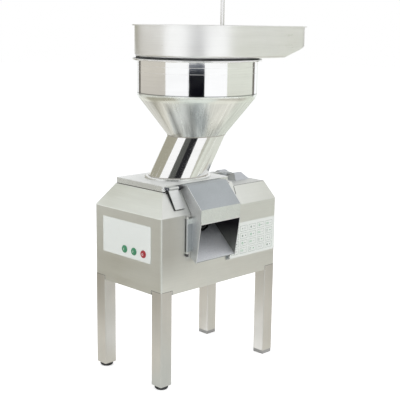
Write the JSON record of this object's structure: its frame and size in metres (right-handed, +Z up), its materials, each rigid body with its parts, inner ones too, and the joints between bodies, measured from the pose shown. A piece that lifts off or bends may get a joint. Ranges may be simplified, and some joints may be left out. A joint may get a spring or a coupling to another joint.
{
  "type": "vegetable cutting machine",
  "caption": "Floor-standing stainless vegetable cutter: folded body on square legs, hinged lid with leaning feed tube, hopper and loading tray, swing-open discharge chute, push-button panel",
  "frame": {"origin": "on the floor under the middle of the outline seen from above", "axes": "+Z up; -Y is the side with the discharge chute; -X is the end with the push buttons; the tray reaches out towards +X"},
  "size_m": [0.7706, 0.51, 1.579],
  "materials": {
    "body_steel": "satin brushed",
    "leg_steel": "satin brushed",
    "lid_steel": "bright satin",
    "bright_steel": "mirror polished",
    "chute_steel": "bead blasted",
    "pin_steel": "ground",
    "inner_steel": "mill",
    "cast_alloy": "machined",
    "motor_paint": "satin",
    "black_rubber": "matt",
    "grey_cap": "matt",
    "black_plastic": "matt",
    "grey_plastic": "matt",
    "panel_film": "semi gloss",
    "green_button": "gloss",
    "red_button": "gloss"
  },
  "bodies": {
    "base": {"bearing_housing": "cast_alloy", "bezel_1": "red_button", "bezel_2": "green_button", "bezel_3": "green_button", "body_shell": "body_steel", "cable_gland": "black_plastic", "chamber_bowl": "cast_alloy", "chassis_plate": "inner_steel", "chute_hinge_lugs": "body_steel", "chute_hinge_rod": "pin_steel", "chute_rod_cap": "black_plastic", "chute_throat": "chute_steel", "contact_blocks": "grey_plastic", "control_plate": "panel_film", "deck_pillars": "inner_steel", "deck_plate": "inner_steel", "drive_belt": "black_rubber", "electrical_box": "grey_plastic", "foot_control_back": "black_rubber", "foot_control_front": "black_rubber", "foot_end_back": "grey_cap", "foot_end_front": "grey_cap", "hinge_bracket_front": "chute_steel", "hinge_bracket_rear": "chute_steel", "hinge_rod": "pin_steel", "instruction_plate": "panel_film", "leg_control_back": "leg_steel", "leg_control_front": "leg_steel", "leg_end_back": "leg_steel", "leg_end_front": "leg_steel", "motor_body": "motor_paint", "shaft_bearings": "pin_steel"},
    "lid_head": {"lid": "lid_steel", "tube_collar": "lid_steel", "feed_tube": "bright_steel", "hopper": "bright_steel", "tray_seat_ring": "black_rubber", "rod_guide": "lid_steel", "lid_arm_front": "lid_steel", "lid_arm_rear": "lid_steel", "strap_lugs": "lid_steel", "strap_pin": "pin_steel", "strap_knob": "black_plastic"},
    "tray": {"tray": "bright_steel"},
    "rod": {"stirring_rod": "bright_steel", "rod_knob": "black_plastic"},
    "strap": {"lid_strap": "lid_steel"},
    "chute": {"chute": "chute_steel"},
    "chute_catch": {"chute_catch_knob": "black_plastic"},
    "cutter": {"drive_shaft": "pin_steel", "driven_pulley": "cast_alloy", "slicing_disc": "bright_steel", "slicing_blades": "bright_steel", "ejector_disc": "cast_alloy"},
    "rotor": {"motor_shaft": "pin_steel", "motor_pulley": "cast_alloy"},
    "push_1": {"button_1": "red_button"},
    "push_2": {"button_2": "green_button"},
    "push_3": {"button_3": "green_button"}
  },
  "joints": [
    {"name": "lid_hinge", "type": "hinge", "parent": "base", "child": "lid_head", "pos_m": [0.17425, 0, 0.745], "axis": [0, 1, 0], "range_deg": [0, 60]},
    {"name": "tray_lift", "type": "slide", "parent": "lid_head", "child": "tray", "axis": [0, 0, 1], "range_m": [0, 0.15]},
    {"name": "rod_slide", "type": "slide", "parent": "lid_head", "child": "rod", "axis": [0, 0, 1], "range_m": [0, 0.18]},
    {"name": "strap_hinge", "type": "hinge", "parent": "lid_head", "child": "strap", "pos_m": [-0.27675, -0.143, 0.76], "axis": [-1, 0, 0], "range_deg": [0, 110]},
    {"name": "chute_hinge", "type": "hinge", "parent": "base", "child": "chute", "pos_m": [-0.25475, -0.199, 0.587], "axis": [0, 0, -1], "range_deg": [0, 95]},
    {"name": "catch_turn", "type": "hinge", "parent": "chute", "child": "chute_catch", "pos_m": [-0.02875, -0.2005, 0.463], "axis": [0, -1, 0], "range_deg": [0, 90]},
    {"name": "cutter_turn", "type": "hinge", "parent": "base", "child": "cutter", "pos_m": [-0.11625, 0, 0.6], "axis": [0, 0, 1], "continuous": true},
    {"name": "rotor_turn", "type": "hinge", "parent": "base", "child": "rotor", "pos_m": [0.133, 0, 0.43], "axis": [0, 0, 1], "continuous": true},
    {"name": "push_1_travel", "type": "slide", "parent": "base", "child": "push_1", "axis": [1, 0, 0], "range_m": [0, 0.003], "stiffness_N_per_m": 300},
    {"name": "push_2_travel", "type": "slide", "parent": "base", "child": "push_2", "axis": [1, 0, 0], "range_m": [0, 0.003], "stiffness_N_per_m": 300},
    {"name": "push_3_travel", "type": "slide", "parent": "base", "child": "push_3", "axis": [1, 0, 0], "range_m": [0, 0.003], "stiffness_N_per_m": 300}
  ],
  "couplings": [
    {"joint": "rotor_turn", "follows": "cutter_turn", "ratio": 2.6667}
  ]
}
